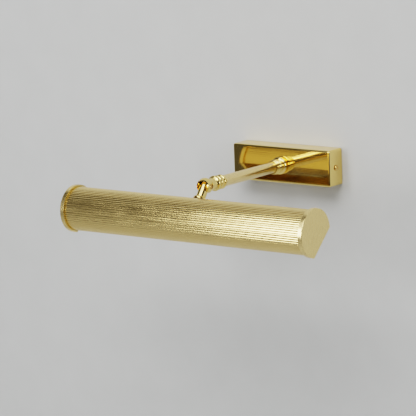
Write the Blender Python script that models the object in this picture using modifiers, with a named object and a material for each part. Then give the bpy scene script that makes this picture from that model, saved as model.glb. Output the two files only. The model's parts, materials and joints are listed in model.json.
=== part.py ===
"""Brass picture light: a wall box, a fixed arm, a knuckle and a trough shade with two lamps.

Metres, +Z up. The origin is on the wall, at the middle of the wall bracket's back face.
+X runs along the wall, +Y into it, so the arm reaches out along -Y.
On the arm, a "reach" is a distance from the wall. Round the shade, an angle is counted
about +X from +Y towards +Z, and a radius is counted from the shade's own axis.
"""

import math

import bmesh
import bpy
from mathutils import Matrix, Vector

MM = 0.001
GAP = 0.3 * MM  # between touching pieces

# Wall box
COVER_WIDTH = 125 * MM
COVER_HEIGHT = 39 * MM
COVER_DEPTH = 23.3 * MM
COVER_SHEET = 1.0 * MM
COVER_BEND = 1.4 * MM
BRACKET_SHEET = 1.5 * MM
BRACKET_WIDTH = 24 * MM
BRACKET_TAB = 16 * MM
COVER_SCREW_REACH = 11 * MM
COVER_SCREW_HEAD = 3.0 * MM
FIXING_SLOT_X = 50 * MM
CABLE_HOLE_X = 14 * MM
CABLE_HOLE_RADIUS = 6 * MM

# Terminal block, fixed to the bracket
TERMINAL_X = -30 * MM
TERMINAL_PITCH = 9.3 * MM
TERMINAL_REACH = 11 * MM
TERMINAL_HALF_LENGTH = 8 * MM
EARTH_SCREW_X = -8 * MM

# Arm
ARM_RADIUS = 6.0 * MM
ARM_BORE = 5.0 * MM
NIPPLE_RADIUS = 4.7 * MM
NIPPLE_BORE = 3.3 * MM
FLEX_RADIUS = 2.3 * MM
CORE_RADIUS = 0.9 * MM
COLLAR_DEPTH = 5.6 * MM
COLLAR_BEAD = 2.6 * MM
RING_DEPTH = 10.2 * MM
ARM_END = 133.5 * MM
FERRULE_START = 128.8 * MM
SWIVEL_REACH = 140 * MM  # where the swivelling knuckle meets the fixed arm

# Knuckle
PIVOT_REACH = 158.5 * MM
LOCK_RING_DEPTH = 4.6 * MM
KNUCKLE_BALL = 8.5 * MM
KNUCKLE_NECK = 5.9 * MM
KNUCKLE_SLOT = 10.6 * MM
KNUCKLE_MOUTH = 6.2 * MM  # the round recess in front of the slot
MOUTH_START = 2.6 * MM  # from the pivot to the recess's floor
PIVOT_SCREW_RADIUS = 1.5 * MM
PIVOT_SINK = 6.9 * MM  # from the pivot to the seat under each screw's head

# Shade
SHADE_REACH = 182.9 * MM
SHADE_DROP = 31.7 * MM
SHADE_RADIUS = 23.15 * MM
SHADE_SHEET = 0.8 * MM
SHADE_LENGTH = 305 * MM
LIP_START = math.radians(4.4)  # the upper lip, next to the wall
LIP_END = math.radians(262.3)  # the lower lip
CAP_RADIUS = 25.15 * MM
CAP_SHEET = 1.2 * MM
CAP_SKIRT = 3.2 * MM

# Stem, from the knuckle into the shade
STEM_RADIUS = 5.0 * MM
STEM_THREAD = 4.0 * MM
STEM_BORE = 2.6 * MM
STEM_SHOULDER = 26.3 * MM
STEM_END = 13.6 * MM

# Lamps and their holders, on the shade's axis
EAR_X = 10 * MM
EAR_SHEET = 1.2 * MM
EAR_HALF = 6 * MM
LAMP_STRIP_LOW = 20.0 * MM
LAMP_STRIP_HIGH = 21.2 * MM
HOLDER_RADIUS = 12 * MM
HOLDER_END_X = 42.5 * MM
HOLDER_THREAD = 5.0 * MM
LAMP_CAP_RADIUS = 7 * MM
BULB_RADIUS = 12.5 * MM
BULB_END_X = 127 * MM
BULB_GLASS = 1 * MM

PIVOT = Vector((0, -PIVOT_REACH, 0))
SHADE_AXIS = Vector((0, -SHADE_REACH, -SHADE_DROP))
STEM_OUT = (PIVOT - SHADE_AXIS).normalized()  # from the shade's axis towards the knuckle
PIVOT_RADIUS = (PIVOT - SHADE_AXIS).length  # the knuckle's distance from the shade's axis
ARM_OUT = Vector((0, -1, 0))
RIGHT = Vector((1, 0, 0))
UP = Vector((0, 0, 1))


# ---------------------------------------------------------------- scene and materials


def clear_scene():
    for obj in list(bpy.data.objects):
        bpy.data.objects.remove(obj, do_unlink=True)


def new_collection(name):
    collection = bpy.data.collections.new(name)
    bpy.context.scene.collection.children.link(collection)
    return collection


def new_material(name, color, roughness, metallic):
    material = bpy.data.materials.new(name)
    material.use_nodes = True
    shader = material.node_tree.nodes["Principled BSDF"]
    shader.inputs["Base Color"].default_value = (*color, 1)
    shader.inputs["Roughness"].default_value = roughness
    shader.inputs["Metallic"].default_value = metallic
    return material


clear_scene()
PARTS = new_collection("picture_light")
CUTTERS = new_collection("cutters")
POLISHED_BRASS = new_material("polished_brass", (0.80, 0.62, 0.26), 0.12, 1)
SATIN_BRASS = new_material("satin_brass", (0.72, 0.58, 0.28), 0.28, 1)
PLAIN_BRASS = new_material("plain_brass", (0.70, 0.52, 0.22), 0.35, 1)
ZINC_STEEL = new_material("zinc_steel", (0.62, 0.62, 0.60), 0.35, 1)
NICKEL = new_material("nickel", (0.66, 0.63, 0.57), 0.25, 1)
WHITE_PLASTIC = new_material("white_plastic", (0.80, 0.79, 0.74), 0.45, 0)
BLACK_BAKELITE = new_material("black_bakelite", (0.02, 0.018, 0.016), 0.35, 0)
LAMP_GLASS = new_material("lamp_glass", (0.92, 0.90, 0.84), 0.1, 0)
FLEX_SHEATH = new_material("flex_sheath", (0.55, 0.42, 0.16), 0.5, 0)
CORE_COLORS = {
    "live": new_material("live_core", (0.20, 0.08, 0.03), 0.45, 0),
    "neutral": new_material("neutral_core", (0.03, 0.11, 0.40), 0.45, 0),
    "earth": new_material("earth_core", (0.16, 0.42, 0.06), 0.45, 0),
}


def joint_centre(name, place, holder=None):
    """An empty on a joint's axis, which carries the pieces that the joint moves."""
    empty = bpy.data.objects.new(name, None)
    empty.empty_display_size = 0.01
    PARTS.objects.link(empty)
    empty.matrix_world = Matrix.Translation(place)
    bpy.context.view_layer.update()
    if holder:
        carry(empty, holder)
    return empty


def carry(obj, holder):
    """Parents obj to holder and leaves it where it is."""
    bpy.context.view_layer.update()
    obj.parent = holder
    obj.matrix_parent_inverse = holder.matrix_world.inverted()
    bpy.context.view_layer.update()


SWIVEL = joint_centre("knuckle_swivel_axis", ARM_OUT * SWIVEL_REACH)
TILT = joint_centre("shade_tilt_axis", PIVOT, SWIVEL)


# ---------------------------------------------------------------- shape tools


def facing(origin, along, side=None):
    """A matrix whose Z runs along a direction and, if side is given, whose X runs along side."""
    along = Vector(along).normalized()
    if side is None:
        turn = UP.rotation_difference(along).to_matrix()
    else:
        side = Vector(side).normalized()
        turn = Matrix((side, along.cross(side), along)).transposed()
    return Matrix.Translation(origin) @ turn.to_4x4()


def add_object(name, mesh, place, material=None, holder=None):
    """Puts a mesh in the scene: a part if it has a material, otherwise a cutter."""
    obj = bpy.data.objects.new(name, mesh)
    obj.matrix_world = place
    if material is None:
        CUTTERS.objects.link(obj)
        obj.hide_render = True
        obj.display_type = "WIRE"
    else:
        PARTS.objects.link(obj)
        mesh.materials.append(material)
    if holder:
        carry(obj, holder)
    return obj


def smooth(mesh, angle=35):
    mesh.shade_smooth()
    mesh.set_sharp_from_angle(angle=math.radians(angle))


def block(name, low, high, material=None, holder=None, bend=0):
    """A box between two corners, with its edges rounded by bend."""
    low, high = Vector(low), Vector(high)
    mesh = bpy.data.meshes.new(name)
    shape = bmesh.new()
    bmesh.ops.create_cube(shape, size=1, matrix=Matrix.Diagonal((*(high - low), 1)))
    shape.to_mesh(mesh)
    shape.free()
    obj = add_object(name, mesh, Matrix.Translation((low + high) / 2), material, holder)
    if bend:
        round_edges(obj, bend)
    return obj


def rod(name, radius, start, end, material=None, holder=None, sides=20):
    """A cylinder between two points."""
    start, end = Vector(start), Vector(end)
    mesh = bpy.data.meshes.new(name)
    shape = bmesh.new()
    bmesh.ops.create_cone(
        shape,
        cap_ends=True,
        segments=sides,
        radius1=radius,
        radius2=radius,
        depth=(end - start).length,
    )
    shape.to_mesh(mesh)
    shape.free()
    smooth(mesh)
    return add_object(name, mesh, facing((start + end) / 2, end - start), material, holder)


def slot_cutter(name, centre, along, radius, stretch, depth):
    """A cutter for a slot with round ends, stretched along X."""
    cutter = rod(name, radius, Vector(centre) - along * depth / 2, Vector(centre) + along * depth / 2)
    inverse = cutter.matrix_world.to_3x3().inverted()
    shift = inverse @ RIGHT * stretch / 2
    for vertex in cutter.data.vertices:
        vertex.co += shift if (cutter.matrix_world.to_3x3() @ vertex.co).x > 0 else -shift
    return cutter


def turned(name, profile, origin, along, material=None, holder=None, hollow=False, steps=24):
    """A turned piece. The profile's (radius, height) points run down its outer side."""
    points = [(radius, 0, height) for radius, height in profile]
    edges = [(i, i + 1) for i in range(len(points) - 1)]
    if hollow:
        edges.append((len(points) - 1, 0))
    mesh = bpy.data.meshes.new(name)
    mesh.from_pydata(points, edges, [])
    obj = add_object(name, mesh, facing(origin, along), material, holder)
    spin(obj, steps)
    return obj


def spin(obj, steps, angle=math.tau):
    screw = obj.modifiers.new("Turn", "SCREW")
    screw.angle = angle
    screw.steps = steps
    screw.render_steps = steps
    screw.use_merge_vertices = angle == math.tau
    screw.merge_threshold = 1e-5
    screw.use_smooth_shade = True


def round_edges(obj, width, segments=2):
    bevel = obj.modifiers.new("Round edges", "BEVEL")
    bevel.width = width
    bevel.segments = segments
    bevel.limit_method = "ANGLE"
    bevel.angle_limit = math.radians(40)


def thicken(obj, sheet, outwards=False):
    solidify = obj.modifiers.new("Sheet", "SOLIDIFY")
    solidify.thickness = sheet
    solidify.offset = 1 if outwards else -1
    solidify.use_even_offset = True


def cut(obj, *cutters):
    for cutter in cutters:
        boolean = obj.modifiers.new(cutter.name, "BOOLEAN")
        boolean.operation = "DIFFERENCE"
        boolean.object = cutter


def join(obj, *others):
    for other in others:
        boolean = obj.modifiers.new(other.name, "BOOLEAN")
        boolean.operation = "UNION"
        boolean.object = other


def arc(centre, radius, start, end, count):
    """Points of an arc in a profile, with angles in degrees from the outward direction."""
    points = []
    for i in range(count):
        angle = math.radians(start + (end - start) * i / (count - 1))
        points.append((centre[0] + radius * math.cos(angle), centre[1] + radius * math.sin(angle)))
    return points


def smooth_route(points, per_stretch=4):
    """A smooth curve (Catmull-Rom) read at even steps through a few chosen points."""
    points = [Vector(p) for p in points]
    padded = [2 * points[0] - points[1], *points, 2 * points[-1] - points[-2]]
    route = []
    for before, start, end, after in zip(padded, padded[1:], padded[2:], padded[3:]):
        for i in range(per_stretch):
            t = i / per_stretch
            route.append(
                start
                + (end - before) * t / 2
                + (before * 2 - start * 5 + end * 4 - after) * t**2 / 2
                + (start * 3 - before - end * 3 + after) * t**3 / 2
            )
    return [*route, points[-1]]


def wire(name, radius, points, material, holder=None):
    """A round wire along a route: a curve with a bevel depth and filled caps."""
    curve = bpy.data.curves.new(name, "CURVE")
    curve.dimensions = "3D"
    curve.bevel_depth = radius
    curve.bevel_resolution = 2
    curve.use_fill_caps = True
    spline = curve.splines.new("POLY")
    spline.points.add(len(points) - 1)
    for target, point in zip(spline.points, points):
        target.co = (*point, 1)
    curve.materials.append(material)
    obj = bpy.data.objects.new(name, curve)
    PARTS.objects.link(obj)
    if holder:
        carry(obj, holder)
    return obj


def hex_nut(name, across_flats, hole, origin, along, height, material, holder=None, side=None):
    """A hexagonal nut standing on origin."""
    mesh = bpy.data.meshes.new(name)
    shape = bmesh.new()
    corner = across_flats / 2 / math.cos(math.pi / 6)
    rise = Matrix.Translation((0, 0, height / 2))
    bmesh.ops.create_cone(
        shape, cap_ends=True, segments=6, radius1=corner, radius2=corner, depth=height, matrix=rise
    )
    shape.to_mesh(mesh)
    shape.free()
    nut = add_object(name, mesh, facing(origin, along, side), material, holder)
    round_edges(nut, 0.4 * MM, 1)
    start = Vector(origin) - Vector(along) * MM
    cut(nut, rod(name + "_hole", hole, start, start + Vector(along) * (height + 2 * MM), holder=holder))
    return nut


def washer(name, radius, hole, origin, along, height, material, holder=None, steps=24):
    profile = [(hole, height), (radius, height), (radius, 0), (hole, 0)]
    return turned(name, profile, origin, along, material, holder, hollow=True, steps=steps)


def on_stem(radius):
    """A point on the stem's axis, at a distance from the shade's axis."""
    return SHADE_AXIS + STEM_OUT * radius


# ---------------------------------------------------------------- wall box


def make_wall_bracket():
    """A strap on the wall whose ends are bent out and tapped for the cover screws."""
    end = COVER_WIDTH / 2 - COVER_SHEET - GAP
    half = BRACKET_WIDTH / 2
    outline = [(-end, -BRACKET_TAB), (-end, 0), (end, 0), (end, -BRACKET_TAB)]
    mesh = bpy.data.meshes.new("wall_bracket")
    shape = bmesh.new()
    lower = [shape.verts.new((x, y, -half)) for x, y in outline]
    edges = [shape.edges.new(pair) for pair in zip(lower, lower[1:])]
    raised = bmesh.ops.extrude_edge_only(shape, edges=edges)["geom"]
    raised = [item for item in raised if isinstance(item, bmesh.types.BMVert)]
    bmesh.ops.translate(shape, verts=raised, vec=(0, 0, BRACKET_WIDTH))
    bmesh.ops.recalc_face_normals(shape, faces=shape.faces)
    shape.to_mesh(mesh)
    shape.free()
    bracket = add_object("wall_bracket", mesh, Matrix(), ZINC_STEEL)
    back = max(mesh.polygons, key=lambda face: face.area)
    thicken(bracket, BRACKET_SHEET, outwards=back.normal.y < 0)
    for side in (-1, 1):
        centre = (side * FIXING_SLOT_X, -BRACKET_SHEET / 2, 0)
        slot = slot_cutter(f"fixing_slot_{side}", centre, ARM_OUT, 2.3 * MM, 5 * MM, 4 * MM)
        tapped = rod(
            f"tapped_hole_{side}",
            2.0 * MM,
            (side * (end - 4 * MM), -COVER_SCREW_REACH, 0),
            (side * (end + 2 * MM), -COVER_SCREW_REACH, 0),
        )
        cut(bracket, slot, tapped)
    for name, x, radius in (
        ("cable_hole", CABLE_HOLE_X, CABLE_HOLE_RADIUS),
        ("terminal_fixing_hole", TERMINAL_X, 1.7 * MM),
        ("earth_screw_hole", EARTH_SCREW_X, 1.8 * MM),
    ):
        cut(bracket, rod(name, radius, (x, 2 * MM, 0), (x, -4 * MM, 0)))


def make_box_cover():
    """An open-backed pressed box with rounded bends, its rim on the wall."""
    mesh = bpy.data.meshes.new("box_cover")
    shape = bmesh.new()
    size = Matrix.Diagonal((COVER_WIDTH, COVER_DEPTH, COVER_HEIGHT, 1))
    bmesh.ops.create_cube(shape, size=1, matrix=size)
    back = [face for face in shape.faces if face.normal.y > 0.5]
    bmesh.ops.delete(shape, geom=back, context="FACES_ONLY")
    shape.to_mesh(mesh)
    shape.free()
    cover = add_object("box_cover", mesh, Matrix.Translation((0, -COVER_DEPTH / 2, 0)), POLISHED_BRASS)
    round_edges(cover, COVER_BEND, 3)
    thicken(cover, COVER_SHEET)
    inside, outside = ARM_OUT * (COVER_DEPTH - 4 * MM), ARM_OUT * (COVER_DEPTH + 3 * MM)
    cut(cover, rod("arm_hole", 5.2 * MM, inside, outside))
    for side in (-1, 1):
        screw_line = Vector((0, -COVER_SCREW_REACH, 0))
        start = screw_line + RIGHT * side * (COVER_WIDTH / 2 - 3 * MM)
        cut(cover, rod(f"screw_hole_{side}", 2.1 * MM, start, start + RIGHT * side * 6 * MM))


def make_screw(name, place, along, head, shank, length, rise, material, holder=None, steps=16):
    """A domed screw with a straight slot. Its head stands on place and its shank runs back from it."""
    profile = [(0, rise)]
    for degrees in (60, 30, 0):
        angle = math.radians(degrees)
        profile.append((head * math.cos(angle), rise * (0.25 + 0.75 * math.sin(angle))))
    profile += [(head, 0.1 * rise), (head * 0.9, 0), (shank, 0)]
    profile += [(shank, -length + shank / 2), (shank / 2, -length), (0, -length)]
    screw = turned(name, profile, place, along, material, holder, steps=steps)
    slot_low = (-head * 1.2, -head * 0.13, rise * 0.5)
    slot_high = (head * 1.2, head * 0.13, rise * 1.5)
    slot = block(name + "_slot", slot_low, slot_high)
    slot.matrix_world = facing(place, along) @ slot.matrix_world
    if holder:
        carry(slot, holder)
    cut(screw, slot)
    return screw


def make_cover_screws():
    for name, side in (("left", -1), ("right", 1)):
        place = Vector((side * (COVER_WIDTH / 2 + GAP), -COVER_SCREW_REACH, 0))
        make_screw(
            "cover_screw_" + name,
            place,
            RIGHT * side,
            COVER_SCREW_HEAD,
            1.7 * MM,
            7 * MM,
            1.8 * MM,
            PLAIN_BRASS,
        )


def make_terminal_block():
    """A three-way screw terminal on the bracket, with a brass insert in each way."""
    front = BRACKET_SHEET + GAP
    half_base = 1.5 * TERMINAL_PITCH
    length = TERMINAL_HALF_LENGTH
    base = block(
        "terminal_block",
        (TERMINAL_X - half_base, -7.5 * MM, -length),
        (TERMINAL_X + half_base, -front, length),
        WHITE_PLASTIC,
        bend=0.5 * MM,
    )
    fixing = rod("terminal_screw_hole", 1.8 * MM, (TERMINAL_X, 0, 0), (TERMINAL_X, -17 * MM, 0))
    ways = ("live", -1), ("neutral", 0), ("earth", 1)
    for name, step in ways:
        x = TERMINAL_X + step * TERMINAL_PITCH
        tower = block(f"tower_{name}", (x - 4.2 * MM, -15 * MM, -7 * MM), (x + 4.2 * MM, -7 * MM, 7 * MM))
        join(base, tower)
    cut(base, fixing)
    cut(base, rod("terminal_screw_sink", 3.0 * MM, (TERMINAL_X, -5 * MM, 0), (TERMINAL_X, -17 * MM, 0)))
    for name, step in ways:
        x = TERMINAL_X + step * TERMINAL_PITCH
        for end, z in (("upper", 1), ("lower", -1)):
            if step == 0:
                start, stop = z * 3.9 * MM, z * 9 * MM
            else:
                start, stop = 0, z * 9 * MM
            low = Vector((x, -TERMINAL_REACH, start))
            cut(base, rod(f"way_{name}_{end}", 2.5 * MM, low, (x, -TERMINAL_REACH, stop), sides=12))
            port = (x, -TERMINAL_REACH, z * 5.2 * MM), (x, -17 * MM, z * 5.2 * MM)
            cut(base, rod(f"port_{name}_{end}", 1.3 * MM, *port, sides=10))


def make_terminal_metal():
    """The brass sleeves and clamp screws inside the terminal block, and its fixing screw."""
    for name, step in (("live", -1), ("earth", 1)):
        x = TERMINAL_X + step * TERMINAL_PITCH
        half = 6.6 * MM
        profile = [(1.3 * MM, half), (2.2 * MM, half), (2.2 * MM, -half), (1.3 * MM, -half)]
        place = (x, -TERMINAL_REACH, 0)
        sleeve = turned(f"terminal_sleeve_{name}", profile, place, UP, PLAIN_BRASS, hollow=True, steps=12)
        for end, z in (("upper", 5.2 * MM), ("lower", -5.2 * MM)):
            port = (x, -TERMINAL_REACH, z), (x, -17 * MM, z)
            cut(sleeve, rod(f"sleeve_port_{name}_{end}", 1.1 * MM, *port, sides=10))
            clamp = [(0, 14.4 * MM), (0.8 * MM, 14.4 * MM), (0.8 * MM, 12.1 * MM), (0, 12.1 * MM)]
            turned(f"clamp_screw_{name}_{end}", clamp, (x, 0, z), ARM_OUT, ZINC_STEEL, steps=10)
    for end, side in (("upper", 1), ("lower", -1)):
        profile = [(1.3 * MM, 6.6 * MM), (2.2 * MM, 6.6 * MM), (2.2 * MM, 4.2 * MM), (1.3 * MM, 4.2 * MM)]
        place = (TERMINAL_X, -TERMINAL_REACH, 0)
        name = f"terminal_sleeve_neutral_{end}"
        turned(name, profile, place, UP * side, PLAIN_BRASS, hollow=True, steps=12)
    make_screw(
        "terminal_block_screw",
        Vector((TERMINAL_X, -5 * MM - GAP, 0)),
        ARM_OUT,
        2.6 * MM,
        1.4 * MM,
        4.9 * MM,
        1.4 * MM,
        ZINC_STEEL,
    )


def make_earth_screw():
    """The earth screw on the bracket and the ring tag under its head."""
    sheet = 0.8 * MM
    tag = Vector((EARTH_SCREW_X, -BRACKET_SHEET - GAP, 0))
    washer("earth_tag", 3.4 * MM, 1.8 * MM, tag, ARM_OUT, sheet, NICKEL, steps=20)
    make_screw(
        "earth_screw",
        tag + ARM_OUT * (sheet + GAP),
        ARM_OUT,
        2.8 * MM,
        1.5 * MM,
        2.5 * MM,
        1.6 * MM,
        PLAIN_BRASS,
    )


# ---------------------------------------------------------------- arm


def make_arm_fixing():
    """The hollow threaded nipple through the box's front, with its washer and nut inside."""
    inner = COVER_DEPTH - COVER_SHEET
    low, high = 15.5 * MM, 38 * MM
    profile = [(NIPPLE_BORE, high), (NIPPLE_RADIUS, high), (NIPPLE_RADIUS, low), (NIPPLE_BORE, low)]
    turned("arm_nipple", profile, (0, 0, 0), ARM_OUT, PLAIN_BRASS, hollow=True)
    hole = NIPPLE_RADIUS + GAP
    sheet, height = 0.8 * MM, 3.2 * MM
    washer_base = inner - GAP - sheet
    washer("arm_lock_washer", 8.5 * MM, hole, ARM_OUT * washer_base, ARM_OUT, sheet, ZINC_STEEL)
    nut_base = washer_base - GAP - height
    hex_nut("arm_lock_nut", 14 * MM, hole, ARM_OUT * nut_base, ARM_OUT, height, ZINC_STEEL)


def make_wall_collar():
    """The big turned bead against the box and the double ring that grips the tube."""
    start = COVER_DEPTH + GAP
    hole = NIPPLE_RADIUS + GAP
    waist = 6.9 * MM
    profile = [(hole, start + COLLAR_DEPTH), (waist, start + COLLAR_DEPTH)]
    profile += arc((waist, start + COLLAR_BEAD), COLLAR_BEAD, 90, -90, 8)
    profile += [(hole, start)]
    turned("wall_collar", profile, (0, 0, 0), ARM_OUT, POLISHED_BRASS, hollow=True)
    ring = start + COLLAR_DEPTH + GAP
    grip = ARM_RADIUS + GAP
    profile = [(grip, ring + RING_DEPTH), (waist, ring + RING_DEPTH)]
    profile += arc((6.6 * MM, ring + 8.6 * MM), 1.0 * MM, 70, -70, 4)
    profile += arc((6.2 * MM, ring + 4.9 * MM), 1.9 * MM, 60, -50, 5)
    profile += arc((6.0 * MM, ring + 1.5 * MM), 1.5 * MM, 50, -90, 5)
    profile += [(grip, ring)]
    profile = [point for point in profile if point[0] >= grip]
    turned("collar_ring", profile, (0, 0, 0), ARM_OUT, POLISHED_BRASS, hollow=True)


def make_arm_tube():
    """The straight arm, slipped over the nipple at the wall end."""
    start = COVER_DEPTH + GAP + COLLAR_DEPTH + GAP
    profile = [(ARM_BORE, ARM_END), (ARM_RADIUS, ARM_END), (ARM_RADIUS, start), (ARM_BORE, start)]
    turned("arm_tube", profile, (0, 0, 0), ARM_OUT, POLISHED_BRASS, hollow=True)


def make_arm_ferrule():
    """The turned end of the arm: a double bead, gripped on the tube."""
    grip = ARM_RADIUS + GAP
    hole = NIPPLE_RADIUS + GAP
    top = SWIVEL_REACH - GAP / 2
    profile = [(hole, top), (6.7 * MM, top)]
    profile += arc((6.0 * MM, SWIVEL_REACH - 2.6 * MM), 1.6 * MM, 60, -60, 5)
    profile += arc((5.9 * MM, FERRULE_START + 2.7 * MM), 1.7 * MM, 62, -62, 5)
    profile += [(6.5 * MM, FERRULE_START), (grip, FERRULE_START), (grip, ARM_END + GAP)]
    profile += [(hole, ARM_END + GAP)]
    turned("arm_ferrule", profile, (0, 0, 0), ARM_OUT, POLISHED_BRASS, hollow=True)


def make_swivel_nipple():
    """The hollow threaded nipple on which the knuckle swivels."""
    low, high = SWIVEL_REACH - 21 * MM, SWIVEL_REACH + 10 * MM
    profile = [(NIPPLE_BORE, high), (NIPPLE_RADIUS, high), (NIPPLE_RADIUS, low), (NIPPLE_BORE, low)]
    turned("swivel_nipple", profile, (0, 0, 0), ARM_OUT, PLAIN_BRASS, hollow=True)


def make_arm_wiring():
    """The flex through the arm, and its three cores in the box."""
    route = [ARM_OUT * (14 * MM + i * 8 * MM) for i in range(17)]
    wire("arm_flex", FLEX_RADIUS, route, FLEX_SHEATH)
    routes = {
        "live": ((-1.2, -12.7, 1.0), (-3.2, -13.2, 3.0), (-20, -14.5, 16.5), (15.5, 9.5, 4.6)),
        "neutral": ((1.2, -12.7, 0.9), (1.6, -9.2, 3.5), (-14, -8.5, 12.5), (12, 9.5, 4.6)),
        "earth": ((0, -12.7, -1.2), (-1, -9.6, -3.5), (-8, -9, -12), (-14.5, -9.5, -4.6)),
    }
    for (name, (*bend, heights)), step in zip(routes.items(), (-1, 0, 1)):
        way = TERMINAL_X + step * TERMINAL_PITCH
        points = [Vector(point) * MM for point in bend]
        points += [Vector((way, -TERMINAL_REACH, height * MM)) for height in heights]
        wire(f"core_{name}", CORE_RADIUS, smooth_route(points), CORE_COLORS[name])


# ---------------------------------------------------------------- knuckle


def make_knuckle():
    """A ball-shaped body on a neck, with a round mouth in front and a slot down to its underside."""
    low = SWIVEL_REACH + LOCK_RING_DEPTH + GAP
    meet = math.degrees(math.acos(KNUCKLE_NECK / KNUCKLE_BALL))
    foot = KNUCKLE_NECK + 0.7 * MM
    profile = [(0, PIVOT_REACH + KNUCKLE_BALL)]
    profile += arc((0, PIVOT_REACH), KNUCKLE_BALL, 78, -meet, 10)
    profile += [(KNUCKLE_NECK, low + 1.5 * MM), (foot, low), (0, low)]
    body = turned("knuckle_body", profile, (0, 0, 0), ARM_OUT, POLISHED_BRASS, SWIVEL)
    socket_end = low + 5.8 * MM
    socket = ARM_OUT * (low - MM), ARM_OUT * socket_end
    cut(body, rod("nipple_socket", NIPPLE_RADIUS + GAP, *socket, holder=SWIVEL))
    way = ARM_OUT * (socket_end - MM), ARM_OUT * PIVOT_REACH
    cut(body, rod("flex_way", 3.4 * MM, *way, holder=SWIVEL))
    half = KNUCKLE_SLOT / 2
    room = STEM_RADIUS + 0.5 * MM
    beyond = 12 * MM
    at = -PIVOT_REACH
    seat = rod("stem_seat", room, PIVOT - RIGHT * half, PIVOT + RIGHT * half, holder=SWIVEL, sides=32)
    front = block("slot_front", (-half, at - beyond, -beyond), (half, at, room), holder=SWIVEL)
    below = block("slot_below", (-half, at - MM, -beyond), (half, at + room, 0), holder=SWIVEL)
    recess = PIVOT + ARM_OUT * MOUTH_START, PIVOT + ARM_OUT * beyond
    mouth = rod("knuckle_mouth", KNUCKLE_MOUTH, *recess, holder=SWIVEL, sides=32)
    cut(body, seat, front, below, mouth)
    for name, side in (("left", -1), ("right", 1)):
        out = RIGHT * side
        outside = PIVOT + out * (KNUCKLE_BALL + 2 * MM)
        hole = PIVOT + out * 4 * MM, outside
        cut(body, rod(f"pivot_hole_{name}", PIVOT_SCREW_RADIUS + GAP, *hole, holder=SWIVEL))
        sink = PIVOT + out * PIVOT_SINK, outside
        cut(body, rod(f"pivot_sink_{name}", 2.9 * MM, *sink, holder=SWIVEL))
        make_screw(
            f"pivot_screw_{name}",
            PIVOT + out * (PIVOT_SINK + GAP),
            out,
            2.5 * MM,
            PIVOT_SCREW_RADIUS,
            3.9 * MM,
            1.3 * MM,
            PLAIN_BRASS,
            SWIVEL,
        )


def make_knuckle_lock_ring():
    """A single bead: the ring nut that clamps the knuckle on its nipple."""
    low = SWIVEL_REACH + GAP / 2
    high = SWIVEL_REACH + LOCK_RING_DEPTH
    hole = NIPPLE_RADIUS + GAP
    profile = [(hole, high), (6.6 * MM, high)]
    profile += arc((6.1 * MM, (low + high) / 2), 2.0 * MM, 62, -62, 6)
    profile += [(6.8 * MM, low), (hole, low)]
    turned("knuckle_lock_ring", profile, (0, 0, 0), ARM_OUT, POLISHED_BRASS, SWIVEL, hollow=True)


# ---------------------------------------------------------------- shade


def make_stem():
    """A hollow stem with a round end in the knuckle and a thread through the shade."""
    profile = [(0, PIVOT_RADIUS + STEM_RADIUS)]
    profile += arc((0, PIVOT_RADIUS), STEM_RADIUS, 72, 0, 6)
    profile += [(STEM_RADIUS, STEM_SHOULDER), (STEM_THREAD, STEM_SHOULDER)]
    profile += [(STEM_THREAD, STEM_END), (0, STEM_END)]
    stem = turned("shade_stem", profile, SHADE_AXIS, STEM_OUT, POLISHED_BRASS, TILT)
    cut(stem, rod("stem_bore", STEM_BORE, on_stem(STEM_END - MM), on_stem(PIVOT_RADIUS), holder=TILT))
    mouth = PIVOT + Vector((0, STEM_RADIUS + 2 * MM, 0))
    cut(stem, rod("stem_wire_mouth", STEM_BORE, PIVOT, mouth, holder=TILT))
    for name, side in (("left", -1), ("right", 1)):
        hole = PIVOT + RIGHT * side * 3.0 * MM, PIVOT + RIGHT * side * 8 * MM
        cut(stem, rod(f"stem_pivot_hole_{name}", PIVOT_SCREW_RADIUS + GAP, *hole, holder=TILT))


def make_stem_fixings():
    """The collar outside the shade; the lock washer and nut inside it."""
    hole = STEM_THREAD + GAP
    seat = SHADE_RADIUS + GAP
    profile = [(hole, 2.5 * MM), (6.0 * MM, 2.5 * MM), (7.0 * MM, 1.7 * MM), (7.0 * MM, 0), (hole, 0)]
    turned("stem_collar", profile, on_stem(seat), STEM_OUT, POLISHED_BRASS, TILT, hollow=True)
    washer("stem_lock_washer", 6.4 * MM, hole, on_stem(18.9 * MM), STEM_OUT, 0.8 * MM, ZINC_STEEL, TILT)
    hex_nut("stem_nut", 12 * MM, hole, on_stem(14.8 * MM), STEM_OUT, 3.8 * MM, ZINC_STEEL, TILT, RIGHT)


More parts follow.
